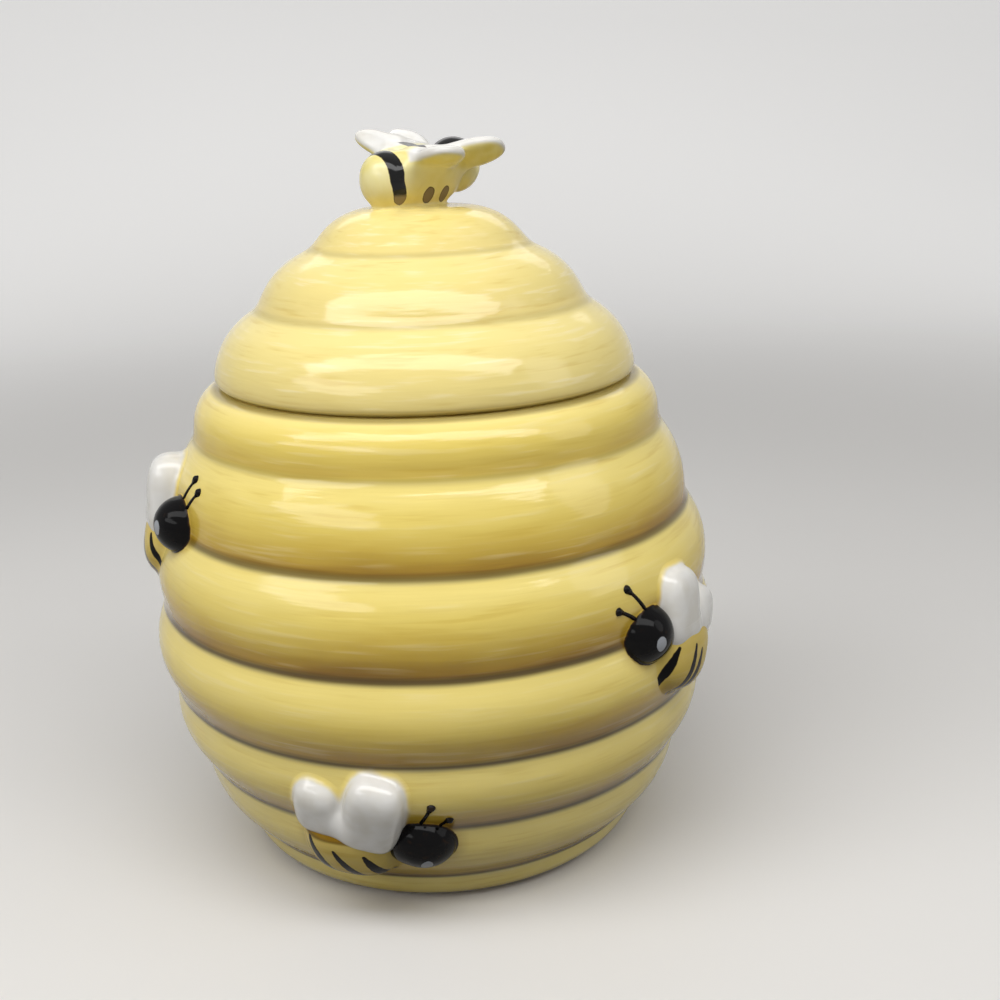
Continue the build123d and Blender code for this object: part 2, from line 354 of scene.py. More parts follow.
def turning_tree():
    """Geometry nodes that swell a section's coils, soften its corners and turn it into a pot."""
    wanted = [("Section", "NodeSocketGeometry", None), ("Ring steps", "NodeSocketInt", ring_steps),
              ("Softening passes", "NodeSocketInt", softening_passes),
              ("Wheel radius", "NodeSocketFloat", wheel_radius * MM), ("Glaze", "NodeSocketMaterial", None)]
    tree, given = new_tree("turn_pot", wanted, "Pot")

    # Each stretch swells along its own bulge
    split = add_node(tree, "GeometryNodeSplitEdges", {"Mesh": given["Section"]})
    curve = add_node(tree, "GeometryNodeMeshToCurve", {"Mesh": split.outputs[0]})
    even = add_node(tree, "GeometryNodeResampleCurve", {"Curve": curve.outputs[0]}, mode="LENGTH")
    tree.links.new(times(tree, named(tree, "step"), MM), even.inputs["Length"])
    share = add_node(tree, "GeometryNodeSplineParameter").outputs["Factor"]
    hump = times(tree, times(tree, share, calculate(tree, "SUBTRACT", 1.0, share)), 4.0)
    swell = calculate_vector(tree, "SCALE", named(tree, "bulge", "FLOAT_VECTOR"), scale=hump)
    swollen = reposition(tree, even.outputs[0], Offset=swell)
    sunk = times(tree, named(tree, "coil"), calculate(tree, "SUBTRACT", 1.0, hump))
    marked = store(tree, swollen, "ridge", calculate(tree, "SUBTRACT", 1.0, sunk))
    centred = times(tree, named(tree, "coil"), calculate(tree, "SUBTRACT", share, 0.5))
    marked = store(tree, marked, "flow", calculate(tree, "ADD", centred, 0.5))

    # The stretches join into one line, whose corners are rubbed soft
    wire = add_node(tree, "GeometryNodeCurveToMesh", {"Curve": marked})
    joined = merge(tree, wire.outputs[0], join_gap * MM)
    line = add_node(tree, "GeometryNodeMeshToCurve", {"Mesh": joined})
    spot = add_node(tree, "GeometryNodeInputPosition").outputs[0]
    passes = {"Iterations": given["Softening passes"]}
    soft = add_node(tree, "GeometryNodeBlurAttribute", passes, data_type="FLOAT_VECTOR")
    tree.links.new(spot, soft.inputs["Value"])
    ends = add_node(tree, "GeometryNodeCurveEndpointSelection").outputs[0]
    inner = add_node(tree, "FunctionNodeBooleanMath", {0: ends}, operation="NOT").outputs[0]
    rubbed = reposition(tree, line.outputs[0], Selection=inner, Position=soft.outputs[0])
    level = add_node(tree, "GeometryNodeSplineParameter").outputs["Length"]
    measured = store(tree, rubbed, "brush_level", level)

    # The wheel: the section lies across a ring, measured from the ring's own radius
    parts = add_node(tree, "ShaderNodeSeparateXYZ", {0: spot}).outputs
    outwards = calculate(tree, "SUBTRACT", parts["X"], given["Wheel radius"])
    downwards = times(tree, parts["Z"], -1.0)
    laid = add_node(tree, "ShaderNodeCombineXYZ", {"X": outwards, "Y": downwards}).outputs[0]
    flat = reposition(tree, measured, Position=laid)
    wheel = {"Resolution": given["Ring steps"], "Radius": given["Wheel radius"]}
    ring = add_node(tree, "GeometryNodeCurvePrimitiveCircle", wheel)
    turned = add_node(tree, "GeometryNodeCurveToMesh", {"Curve": ring.outputs[0], "Profile Curve": flat})
    closed = merge(tree, turned.outputs[0], close_gap * MM)
    smooth = add_node(tree, "GeometryNodeSetShadeSmooth", {"Geometry": closed})
    return end_tree(tree, smooth.outputs[0], given["Glaze"])


def from_seat(tree, height):
    """How far a height is from the seat, where the lid meets the jar."""
    return calculate(tree, "ABSOLUTE", calculate(tree, "SUBTRACT", height, seat_height * MM))


def hand_tree():
    """Geometry nodes that let a piece waver as hand work does, but not at foot, seat or crown."""
    wanted = [("Piece", "NodeSocketGeometry", None), ("Depth", "NodeSocketFloat", waver_depth),
              ("Wander", "NodeSocketFloat", waver_drift), ("Scale", "NodeSocketFloat", waver_scale),
              ("Seed", "NodeSocketVector", waver_seed), ("Glaze", "NodeSocketMaterial", None)]
    tree, given = new_tree("hand_work", wanted, "Piece")
    spot = add_node(tree, "GeometryNodeInputPosition").outputs[0]
    height = height_of(tree, spot)
    above_foot = ramp(tree, height, 3 * MM, 15 * MM)
    off_seat = ramp(tree, from_seat(tree, height), 2 * MM, 14 * MM)
    below_crown = ramp(tree, height, (crown_height + 2) * MM, (crown_height - 14) * MM)
    free = times(tree, times(tree, above_foot, off_seat), below_crown)
    field = calculate_vector(tree, "ADD", spot, given["Seed"])
    waves = add_node(tree, "ShaderNodeTexNoise", {"Vector": field, "Scale": given["Scale"], "Detail": 1.0})
    shares = add_node(tree, "ShaderNodeSeparateXYZ", {0: waves.outputs["Color"]}).outputs
    sink = times(tree, calculate(tree, "SUBTRACT", shares["X"], 1.0), given["Depth"])
    drift = times(tree, calculate(tree, "SUBTRACT", shares["Y"], 0.5), given["Wander"])
    outward = calculate_vector(tree, "NORMALIZE", level_part(tree, spot))
    radial = calculate_vector(tree, "SCALE", outward, scale=sink)
    upward = add_node(tree, "ShaderNodeCombineXYZ", {"Z": drift}).outputs[0]
    shift = calculate_vector(tree, "SCALE", calculate_vector(tree, "ADD", radial, upward), scale=free)
    moved = reposition(tree, given["Piece"], Offset=shift)
    return end_tree(tree, moved, given["Glaze"])


def run_tree(piece, tree, **inputs):
    """Put a piece through a tree and keep the result as its own plain mesh."""
    modifier = piece.modifiers.new(tree.name, "NODES")
    modifier.node_group = tree
    inputs_of = [item for item in tree.interface.items_tree if item.in_out == "INPUT"]
    identifiers = {item.name: item.identifier for item in inputs_of}
    for name, value in inputs.items():
        modifier[identifiers[name]] = value
    graph = bpy.context.evaluated_depsgraph_get()
    shaped = piece.evaluated_get(graph)
    result = bpy.data.meshes.new_from_object(shaped, preserve_all_data_layers=True, depsgraph=graph)
    piece.modifiers.remove(modifier)
    piece.data = result
    result.name = piece.name


def new_piece(name, mesh):
    piece = bpy.data.objects.new(name, mesh)
    bpy.context.collection.objects.link(piece)
    return piece


def corners_of(mesh):
    """Places of a mesh's corners, one to a row."""
    corners = np.empty(len(mesh.vertices) * 3)
    mesh.vertices.foreach_get("co", corners)
    return corners.reshape(-1, 3)


def face_outwards(mesh):
    """Turn a closed mesh right side out: the volume that its faces enclose is then positive."""
    mesh.calc_loop_triangles()
    triangles = np.empty(len(mesh.loop_triangles) * 3, dtype=int)
    mesh.loop_triangles.foreach_get("vertices", triangles)
    first, second, third = corners_of(mesh)[triangles.reshape(-1, 3)].transpose(1, 0, 2)
    if np.einsum("ij,ij->i", first, np.cross(second, third)).sum() < 0:
        mesh.flip_normals()


inside_cream = colour(238, 230, 208)
bare_clay = colour(214, 196, 164)
joint_shadow = 0.55


def ware_glaze():
    """The yellow glaze of a pot: cream inside, bare clay under its foot, a painted shadow at the joint."""
    material = new_material("brushed_honey_glaze")
    tree = material.node_tree
    place = add_node(tree, "ShaderNodeTexCoord").outputs["Object"]
    tone, relief = honey_glaze(tree, place)
    lining = ramp(tree, attribute(tree, "inside"), 0.35, 0.65)
    tone = blend_colours(tree, lining, tone, inside_cream)
    height = height_of(tree, place)
    tone = blend_colours(tree, ramp(tree, height, 0.7 * MM, 0.2 * MM), tone, bare_clay)
    reach = calculate_vector(tree, "LENGTH", level_part(tree, place))
    rim = outline_radius(seat_height)
    outside = ramp(tree, reach, (rim - 3) * MM, (rim - 1) * MM)
    # Painted shadow of the gap between lid and jar, along the seat's outer edge
    joint = times(tree, ramp(tree, from_seat(tree, height), 1.7 * MM, 0.6 * MM), outside)
    tone = blend_colours(tree, times(tree, joint, joint_shadow), tone, seam_glaze_and_shade)
    return finish_glaze(material, tone, relief)


honey = ware_glaze()
turn_pot = turning_tree()
hand_work = hand_tree()

jar_grooves = groove_points(0, jar_coils)
foot_inner = (jar_grooves[0][0] - foot_width, 0)
foot_ceiling = (foot_inner[0], foot_recess)
floor_corner = np.array([jar_grooves[0][0], foot_recess + floor_thickness])
neck_base = (mouth_radius, seat_height - neck_height)
mouth_edge = (mouth_radius, seat_height)
inner_points = [floor_corner, *[inset(point) for point in jar_grooves[2:-1]], neck_base]

jar_section = [
    section_stretch((0, foot_recess), foot_ceiling, step=coarse_step),
    *stretches_along([foot_ceiling, foot_inner, jar_grooves[0]]),
    *stretches_along(jar_grooves, [-bulge for height, bulge in jar_coils], coil=1.0),
    section_stretch(jar_grooves[-1], mouth_edge),
    section_stretch(mouth_edge, neck_base, inside=1.0),
    *stretches_along(inner_points[::-1], inner_bulge, inside=1.0, step=coarse_step),
    section_stretch(floor_corner, (0, floor_corner[1]), inside=1.0, step=coarse_step),
]

jar = new_piece("coiled_jar", section_mesh("jar_section", jar_section))
run_tree(jar, turn_pot, Glaze=honey)
face_outwards(jar.data)

# Relief bees
# Three bees of soft clay that are pressed on the jar and melted into its coils with a wet brush,
# one high at the left, one at the right and one low in front. Each has a black head with feelers,
# a striped yellow body and a pair of white wings.
# Head and body lie so far forward and up from the bee's middle, and a head so deep in the outline.
# A wing is given as forward, up and half length, and feelers and stripes by their points.
relief_bees = {
    "left": {
        "azimuth": -170.0, "height": 127.0, "facing": 1, "nose_up": 0.0,
        "head": (21.3, -1.2, 0.5), "head_size": (10.6, 9.6, 10.3), "body": (-3.0, -12.5),
        "fore_wing": (1.5, 2.8, 15.5), "hind_wing": (-16.0, -3.5, 10.0),
        "wing_depth": 10.6, "lean": 12.0,
        "feelers": [((1.5, 8.5), (7.6, 16.8)), ((6.5, 6.5), (13.6, 13.6))],
        "stripe_half_width": 1.1,
        "stripes": [((8.0, -9.5), (10.0, -15.0), (15.5, -20.5)),
                    ((1.5, -12.0), (3.5, -19.5), (9.5, -25.0)),
                    ((-8.0, -13.5), (-5.5, -21.0), (0.5, -26.0))]},
    "right": {
        "azimuth": -37.0, "height": 94.5, "facing": -1, "nose_up": 0.0,
              "head": (17.5, -1.0, 1.2), "head_size": (10.6, 10.1, 10.3), "body": (-0.6, -12.5),
              "fore_wing": (2.8, 3.2, 14.0), "hind_wing": (-14.5, -3.9, 9.4),
        "wing_depth": 9.4, "lean": 4.0,
              "feelers": [((1.5, 8.5), (9.2, 17.2)), ((6.0, 6.5), (14.2, 11.4))],
              "stripe_half_width": 1.45,
              "stripes": [((9.8, -8.0), (14.0, -13.6), (17.2, -21.6)),
                    ((1.4, -9.5), (3.4, -18.0), (7.0, -25.0)),
                     ((-2.8, -12.5), (-0.6, -20.0), (3.6, -26.0))]},
    "front": {
        "azimuth": -106.0, "height": 41.5, "facing": 1, "nose_up": -20.0,
              "head": (18.2, -2.1, 1.0), "head_size": (11.4, 9.3, 10.3), "body": (-3.0, -12.5),
              "fore_wing": (0.9, 6.1, 16.0), "hind_wing": (-16.5, 0.1, 11.7),
        "wing_depth": 9.3, "lean": 5.0,
              "feelers": [((-2.5, 7.2), (-1.1, 18.4)), ((3.0, 6.7), (5.9, 13.8))],
              "stripe_half_width": 1.6,
              "stripes": [((2.4, -8.0), (6.0, -13.0), (13.7, -20.0)),
                    ((-7.5, -10.5), (-1.5, -18.0), (11.5, -25.0)),
                     ((-16.2, -11.0), (-12.5, -18.0), (-5.5, -23.0))]},
}
neck_place = (-5.5, -3.5, -2.0)
neck_size = (5.5, 5.5, 8.0)
body_sink = 3.0
body_size = (16.5, 14.5, 12.2)
body_angle = 20.0
fore_wing_half_width = 9.9
fore_wing_angle = 95.0
hind_wing_half_width = 8.2
hind_wing_angle = 102.0
wing_sink = 0.3
wing_root_size = (13.0, 7.5)
feeler_shares = (0, 0.74, 0.88, 1)
feeler_radii = (0.6, 0.45, 0.9, 1.3)
feeler_bow = 1.6
feeler_points = 9
eye_place = (2.2, -1.4)
eye_size = (1.9, 2.5)
shade_reach = 4.0
clay_step = 0.45
coarse_block = 4
probe = 0.05
not_painted = 9.0


def unit(vector):
    return vector / np.linalg.norm(vector)


def pot_field(pot):
    """Distance from the outside of a pot at any points, with the ridge, brush level and flow."""
    mesh = pot.data
    corners = corners_of(mesh) / MM
    facts = {}
    for name in ("ridge", "brush_level", "flow", "inside"):
        facts[name] = np.empty(len(corners))
        mesh.attributes[name].data.foreach_get("value", facts[name])
    seen = (abs(corners[:, 1]) < 1e-3) & (corners[:, 0] > -1e-3) & (facts["inside"] < 0.5)
    order = np.argsort(facts["brush_level"][seen])
    line = corners[seen][order][:, [0, 2]]
    marks = np.stack([facts["ridge"], facts["brush_level"], facts["flow"]], axis=1)[seen][order]

    margin = 20
    step = 0.4
    low = np.array([0.0, line[:, 1].min() - margin])
    radii = np.arange(low[0], line[:, 0].max() + margin, step)
    heights = np.arange(low[1], line[:, 1].max() + margin, step)
    radius, height = np.meshgrid(radii, heights, indexing="ij")
    layers = np.zeros(radius.shape + (4,))
    layers[..., 0] = np.inf
    for start, end, first, second in zip(line, line[1:], marks, marks[1:]):
        along = end - start
        share = ((radius - start[0]) * along[0] + (height - start[1]) * along[1]) / (along @ along)
        share = share.clip(0, 1)
        away = np.hypot(radius - start[0] - share * along[0], height - start[1] - share * along[1])
        closer = away < layers[..., 0]
        layers[closer, 0] = away[closer]
        layers[closer, 1:] = first + share[closer][:, None] * (second - first)
    ring = np.vstack([line, (0, seat_height)])
    buried = np.zeros(radius.shape, dtype=bool)
    for start, end in zip(ring, np.roll(ring, -1, axis=0)):
        if start[1] != end[1]:
            edge = start[0] + (height - start[1]) * (end[0] - start[0]) / (end[1] - start[1])
            buried ^= ((start[1] > height) != (end[1] > height)) & (radius < edge)
    layers[buried, 0] *= -1

    def measure(points):
        place = np.stack([np.hypot(points[..., 0], points[..., 1]), points[..., 2]], axis=-1)
        place = (place - low) / step
        cell = np.floor(place).astype(int).clip(0, np.array(radius.shape) - 2)
        share = (place - cell).clip(0, 1)
        i, j = cell[..., 0], cell[..., 1]
        u, v = share[..., :1], share[..., 1:]
        near = (1 - v) * layers[i, j] + v * layers[i, j + 1]
        far = (1 - v) * layers[i + 1, j] + v * layers[i + 1, j + 1]
        return (1 - u) * near + u * far

    return measure


def outline_frame(azimuth, height, heading, facing):
    """Place on the hive's outline, and its ways forward, up and outwards as the rows of a matrix."""
    level = np.array([cos(azimuth), sin(azimuth), 0])
    outward = unit(level - np.array([0, 0, outline_slope(height)]))
    forward = unit(heading - outward * (heading @ outward))
    place = level * outline_radius(height) + np.array([0, 0, height])
    return place, np.array([forward, facing * np.cross(outward, forward), outward])


def swung(first, second, angle):
    """Two ways square to each other, swung from the first towards the second by degrees."""
    turn = radians(angle)
    return first * cos(turn) + second * sin(turn), second * cos(turn) - first * sin(turn)


def bee_frame(azimuth, height, facing, nose_up):
    turn = radians(azimuth)
    heading = np.array([-sin(turn), cos(turn), 0]) * facing
    place, (forward, upward, outward) = outline_frame(turn, height, heading, facing)
    return place, np.array([*swung(forward, upward, nose_up), outward])


def piece_frame(bee, facing, place, sink):
    """Frame of a piece, which follows the hive's outline away from the bee's middle."""
    middle, ways = bee
    near = middle + place[0] * ways[0] + place[1] * ways[1]
    origin, own = outline_frame(atan2(near[1], near[0]), near[2], ways[0], facing)
    return origin - own[2] * sink, own


def leaned_out(placed, angle):
    """The same frame turned about its way forward, so that its top stands further out."""
    origin, (forward, upward, outward) = placed
    return origin, np.array([forward, *swung(upward, outward, angle)])


def pebble(points, frame, size, angle=0.0, offset=(0, 0, 0), power=2.0):
    """Distance from a pebble of given half sizes, turned by an angle in its frame's own plane."""
    origin, ways = frame
    local = (points - origin) @ ways.T - np.array(offset)
    along, across = cos(radians(angle)), sin(radians(angle))
    shares = np.stack([abs(local[..., 0] * along + local[..., 1] * across) / size[0],
                       abs(local[..., 1] * along - local[..., 0] * across) / size[1],
                       abs(local[..., 2]) / size[2]], axis=-1)
    total = (shares**power).sum(axis=-1) ** (1 / power) + 1e-6
    steepness = np.sqrt(((shares ** (power - 1) / np.array(size)) ** 2).sum(axis=-1)) * total ** (1 - power)
    return (total - 1) / (steepness + 1e-6)


def melt(first, second, blend):
    """Distance from two shapes of clay whose joint is filled and smoothed over a blend's width."""
    near = (blend - abs(first - second)).clip(0) / blend
    return np.minimum(first, second) - near**2 * blend / 4


def rod(points, line, radii):
    """Distance from a round rod along a line of points, with its own radius at each."""
    nearest = np.full(points.shape[:-1], np.inf)
    for start, end, first, second in zip(line, line[1:], radii, radii[1:]):
        along = end - start
        share = (((points - start) @ along) / (along @ along)).clip(0, 1)
        away = np.linalg.norm(points - start - share[..., None] * along, axis=-1)
        nearest = np.minimum(nearest, away - first - share * (second - first))
    return nearest


def pressed_on(form, ground, blend, depth=2.5):
    """Clay form melted into the ground: its skirt ends just under the ground's own surface."""
    def field(points):
        base = ground(points)[..., 0]
        own = form(points)
        melted = melt(own, base + 0.08, blend)
        return np.maximum(np.maximum(melted, own - blend - 0.4), -base - depth)
    return field


def modelled(name, field, middle, reach, step=clay_step):
    """Closed mesh of the clay that a field of distances gives round a middle."""
    step = step * 1
    low = np.asarray(middle) - reach
    counts = int(2 * reach / step) + 1
    spots = [low[axis] + step * np.arange(counts) for axis in range(3)]
    points = np.stack(np.meshgrid(*spots, indexing="ij"), axis=-1)
    values = field(points[::coarse_block, ::coarse_block, ::coarse_block])
    for axis in range(3):
        values = values.repeat(coarse_block, axis=axis)
    values = values[:counts, :counts, :counts].copy()
    close = abs(values) < 8 * step
    values[close] = field(points[close])
    band = 5 * step
    grid = openvdb.FloatGrid(background=band)
    grid.copyFromArray(values.clip(-band, band).astype(np.float32))
    corners, quads = grid.convertToQuads(isovalue=0.0)
    corners = low + np.asarray(corners, dtype=float) * step
    for _ in range(3):
        value = field(corners)
        nudges = np.eye(3) * probe
        slope = [(field(corners + nudge) - field(corners - nudge)) / (2 * probe) for nudge in nudges]
        slope = np.stack(slope, axis=-1)
        move = slope * (value / ((slope**2).sum(axis=-1) + 1e-3))[:, None]
        corners -= move.clip(-0.4 * step, 0.4 * step)
    mesh = bpy.data.meshes.new(name)
    mesh.from_pydata((corners * MM).tolist(), [], np.asarray(quads).tolist())
    mesh.polygons.foreach_set("use_smooth", [True] * len(mesh.polygons))
    face_outwards(mesh)
    return new_piece(name, mesh), corners


def mark(piece, **facts):
    """Values at a piece's corners that its glaze reads."""
    for name, values in facts.items():
        layer = piece.data.attributes.get(name) or piece.data.attributes.new(name, "FLOAT", "POINT")
        values = np.broadcast_to(values, len(piece.data.vertices))
        layer.data.foreach_set("value", values.astype(np.float32))


def stroke_edge(spots, path, half_width):
    """Distance in the plane from a bowed brush stroke, which is broadest past its middle."""
    shares = np.linspace(0, 1, 13)
    start, bow, end = (np.array(point) for point in path)
    line = [(1 - s) ** 2 * start + 2 * s * (1 - s) * bow + s**2 * end for s in shares]
    widths = [half_width * (0.35 + 0.65 * sin(0.85 * pi * s)) for s in shares]
    return rod(spots, line, widths)


white_glaze = colour(225, 223, 218)
white_shade = colour(215, 211, 201)
black_glaze = colour(12, 11, 12)
thin_black = colour(56, 36, 18)
washed_black = colour(136, 118, 90)
eye_grey = colour(160, 163, 168)


def bee_paint(name, shine, base_tone=None):
    """Glaze of a bee: white where the clay stands proud, and black inside its brush marks."""
    material = new_material(name)
    tree = material.node_tree
    place = add_node(tree, "ShaderNodeTexCoord").outputs["Object"]
    tone, relief = honey_glaze(tree, place)
    if base_tone:
        tone = base_tone(tree, tone, place)
    wobble = swing(tree, noise(tree, place, 420.0), 0.5)
    milky = noise(tree, place, 130.0)
    proud = calculate(tree, "ADD", attribute(tree, "white"), swing(tree, milky, 1.2))
    shaded_white = blend_colours(tree, ramp(tree, milky, 0.35, 0.75), white_glaze, white_shade)
    tone = blend_colours(tree, ramp(tree, proud, 0.1, 1.3), tone, shaded_white)
    edge = calculate(tree, "ADD", attribute(tree, "black"), wobble)
    tone = blend_colours(tree, ramp(tree, edge, 0.22, 0.0), tone, thin_black)
    black = blend_colours(tree, attribute(tree, "washed"), black_glaze, washed_black)
    tone = blend_colours(tree, ramp(tree, edge, 0.02, -0.22), tone, black)
    eye = calculate(tree, "ADD", attribute(tree, "eye"), wobble)
    tone = blend_colours(tree, ramp(tree, eye, 0.15, -0.15), tone, eye_grey)
    return finish_glaze(material, tone, relief, ripple=0.25 * MM, shine=shine)


jar_ground = pot_field(jar)
body_glaze = bee_paint("striped_body_glaze", 0.06)
wing_glaze = bee_paint("white_wing_glaze", 0.50)
dark_glaze = bee_paint("black_head_glaze", 0.09)
jar_bees = []
near_bees = np.full(len(jar.data.vertices), not_painted)
jar_corners = corners_of(jar.data) / MM
feeler_steps = np.linspace(0, 1, feeler_points)
feeler_thickness = np.interp(feeler_steps, feeler_shares, feeler_radii)


def feeler_line(bee, facing, head, root, tip):
    """Points of a feeler, which lies on the coils and bows up between its root and its tip."""
    line = []
    for share in feeler_steps:
        forward, upward = np.array(root) * (1 - share) + np.array(tip) * share
        upward += feeler_bow * share * (1 - share)
        spot, ways = piece_frame(bee, facing, (head[0] + forward, head[1] + upward), 0)
        for _ in range(4):
            spot = spot - ways[2] * jar_ground(spot)[0]
        line.append(spot)
    return line


for name, site in relief_bees.items():
    facing = site["facing"]
    bee = bee_frame(site["azimuth"], site["height"], facing, site["nose_up"])
    head, fore_wing, hind_wing = site["head"], site["fore_wing"], site["hind_wing"]
    head_frame = piece_frame(bee, facing, head[:2], head[2])
    body_frame = piece_frame(bee, facing, site["body"], body_sink)
    fore_frame = leaned_out(piece_frame(bee, facing, fore_wing[:2], 0), site["lean"])
    hind_frame = leaned_out(piece_frame(bee, facing, hind_wing[:2], wing_sink), site["lean"])
    root_frame = piece_frame(bee, facing, (-5.0, fore_wing[1] - 8.0), wing_sink)
    fore_size = (fore_wing[2], fore_wing_half_width, site["wing_depth"])
    hind_size = (hind_wing[2], hind_wing_half_width, site["wing_depth"] - 1.4)
    root_size = (*wing_root_size, site["wing_depth"] - 1.2)
    feelers = [feeler_line(bee, facing, head, *ends) for ends in site["feelers"]]

    def head_form(points):
        ball = pebble(points, head_frame, site["head_size"])
        neck = pebble(points, head_frame, neck_size, offset=neck_place)
        return melt(ball, neck, 4.0)

    def body_form(points):
        return pebble(points, body_frame, body_size, body_angle, power=2.5)

    def wings_form(points):
        fore = pebble(points, fore_frame, fore_size, fore_wing_angle, power=3.2)
        hind = pebble(points, hind_frame, hind_size, hind_wing_angle, power=2.8)
        wings = melt(fore, hind, 3.0)
        return melt(wings, pebble(points, root_frame, root_size, power=2.2), 3.0)

    def feelers_form(points):
        return np.minimum(*[rod(points, line, feeler_thickness) for line in feelers])

    # Each form with its middle, how far it reaches, how wide it is melted on, its slot and glaze
    wings_middle = root_frame[0] + 5 * bee[1][1]
    feelers_middle = np.mean([line[feeler_points // 2] for line in feelers], axis=0)
    forms = {"head": (head_form, head_frame[0], 16.5, 1.2, "black_glaze", dark_glaze),
             "body": (body_form, body_frame[0], 23.0, 2.0, "yellow_glaze", body_glaze),
             "wings": (wings_form, wings_middle, 31.0, 2.6, "white_glaze", wing_glaze),
             "feelers": (feelers_form, feelers_middle, 13.0, 0.4, "black_glaze", dark_glaze)}
    for part, (form, middle, reach, blend, slot, glaze) in forms.items():
        step = clay_step * (0.6 if part == "feelers" else 1)
        clay = pressed_on(form, jar_ground, blend)
        piece, corners = modelled(f"{name}_relief_{part}", clay, middle, reach, step)
        ground = jar_ground(corners)
        spots = (corners - bee[0]) @ bee[1].T
        white, black, eye = 0.0, not_painted, not_painted
        if part == "head":
            black = head_form(corners) - 0.25
            looks = (corners - head_frame[0]) @ head_frame[1].T
            from_eye = (looks[:, :2] - eye_place) / eye_size
            eye = (np.hypot(from_eye[:, 0], from_eye[:, 1]) - 1) * 2
        if part == "body":
            half_width = site["stripe_half_width"]
            edges = [stroke_edge(spots[:, :2], path, half_width) for path in site["stripes"]]
            black = np.min(edges, axis=0)
        if part == "wings":
            white = ground[:, 0] + 0.1
        if part == "feelers":
            black = feelers_form(corners) - 0.2
        # Closeness to head and body, for the painted shade round the bee's foot
        near = np.minimum(head_form(corners), body_form(corners))
        mark(piece, white=white, black=black, washed=0.0, eye=eye, ridge=ground[:, 1],
             brush_level=ground[:, 2], flow=ground[:, 3], near_bee=(1 - near / shade_reach).clip(0, 1))
        piece.data.materials.append(glaze)
        jar_bees.append((piece, slot, glaze, f"{name}_bee", part))
    near_bees = np.minimum(near_bees, np.minimum(head_form(jar_corners), body_form(jar_corners)))
# Painted shade on the jar round the foot of each bee
mark(jar, near_bee=(1 - near_bees / shade_reach).clip(0, 1))

run_tree(jar, hand_work, Glaze=honey)
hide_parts("jar_shell")
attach(jar, "jar")
cad_names = {"wings": ("fore_wing", "hind_wing"), "feelers": ("antennae",)}
for piece, slot, glaze, bee_name, part in jar_bees:
    run_tree(piece, hand_work, Glaze=glaze)
    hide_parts(*[f"{bee_name}_{cad}" for cad in cad_names.get(part, (part,))])
    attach(piece, "jar")

# Lid
# A second pot of three coils that rests on the jar's seat. A flange under its rim drops into the
# mouth, with room round it, so that the lid can't slide off.
flange_clearance = 1.5
flange_thickness = 4.5
flange_depth = 10.0
flange_radius = mouth_radius - flange_clearance
flange_bore = flange_radius - flange_thickness
flange_base = seat_height - flange_depth
ceiling_height = crown_height - wall

lid_grooves = groove_points(seat_height, lid_coils[:-1]) + [np.array([lid_top_radius, crown_height])]
lid_inner = [np.array([flange_bore, seat_height]), *[inset(point) for point in lid_grooves[1:-1]],
             np.array([lid_top_radius, ceiling_height])]
flange = [lid_inner[0], (flange_bore, flange_base), (flange_radius, flange_base),
          (flange_radius, seat_height)]
lid_section = [
    section_stretch((0, ceiling_height), lid_inner[-1], inside=1.0, step=coarse_step),
    *stretches_along(lid_inner[::-1], inner_bulge, inside=1.0, step=coarse_step),
    *stretches_along(flange, inside=1.0),
    section_stretch(flange[-1], lid_grooves[0]),
    *stretches_along(lid_grooves, [-bulge for height, bulge in lid_coils], coil=1.0),
    section_stretch(lid_grooves[-1], (0, crown_height), step=coarse_step),
]

lid = new_piece("coiled_lid", section_mesh("lid_section", lid_section))
run_tree(lid, turn_pot, Glaze=honey)
face_outwards(lid.data)

lid_ground = pot_field(lid)
run_tree(lid, hand_work, Glaze=honey)
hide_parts("lid_shell")
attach(lid, "lid")

# Bee on the lid
# The lid's knob: a cream bee with black rings, modelled round and stuck upright on the crown.
# Its four wings are white on top and spread from its shoulders, and it looks away from the front.
knob_heading = 38.0
knob_place = (-2.0, -2.5)
tail_place = (-10.4, 0.0, 8.8)
tail_size = (8.6, 9.1, 9.4)
chest_place = (2.5, 0.0, 8.9)
chest_size = (15.6, 9.3, 9.5)
knob_head_place = (18.3, 0.0, 12.5)
knob_head_size = (9.2, 9.3, 9.3)
knob_wing_root = (4.0, 0.0)
knob_blade_size = (7.4, 2.9)
# Each wing's side, length, height of its root, sweep, rise and twist: left fore, left hind, right
# fore and right hind
knob_wings = [(1, 29.0, 13.0, 66.0, 23.0, 0.0), (1, 26.5, 13.0, 107.0, 25.0, 0.0),
              (-1, 29.8, 12.2, 56.0, 15.8, -20.0), (-1, 27.0, 12.0, 104.0, 13.0, -8.0)]
knob_cream = colour(240, 232, 176)
knob_butter = colour(228, 214, 128)
knob_white_above = {"knob_left_wings": -0.7, "knob_right_wings": -1.5}
knob_middle_height = 12.0

turn = radians(knob_heading)
knob_ways = np.array([[cos(turn), sin(turn), 0], [-sin(turn), cos(turn), 0], [0, 0, 1]])
knob_frame = (np.array([*knob_place, crown_height]), knob_ways)


def knob_body(points):
    tail = pebble(points, knob_frame, tail_size, offset=tail_place, power=2.1)
    chest = pebble(points, knob_frame, chest_size, offset=chest_place, power=2.3)
    return melt(tail, chest, 2.5)


def knob_head(points):
    return pebble(points, knob_frame, knob_head_size, offset=knob_head_place)


def wing_frame(side, height, sweep, rise, twist):
    """Frame at a wing's root: along the wing, across it and square to it."""
    middle, (forward, left, upward) = knob_frame
    across, square = swung(left, upward, rise * side)
    along = swung(forward, across * side, sweep)[0]
    broad = swung(np.cross(square, along), square, twist)[0]
    root = middle + np.array([*knob_wing_root, height]) @ knob_ways
    return root, np.array([along, broad, np.cross(along, broad)])


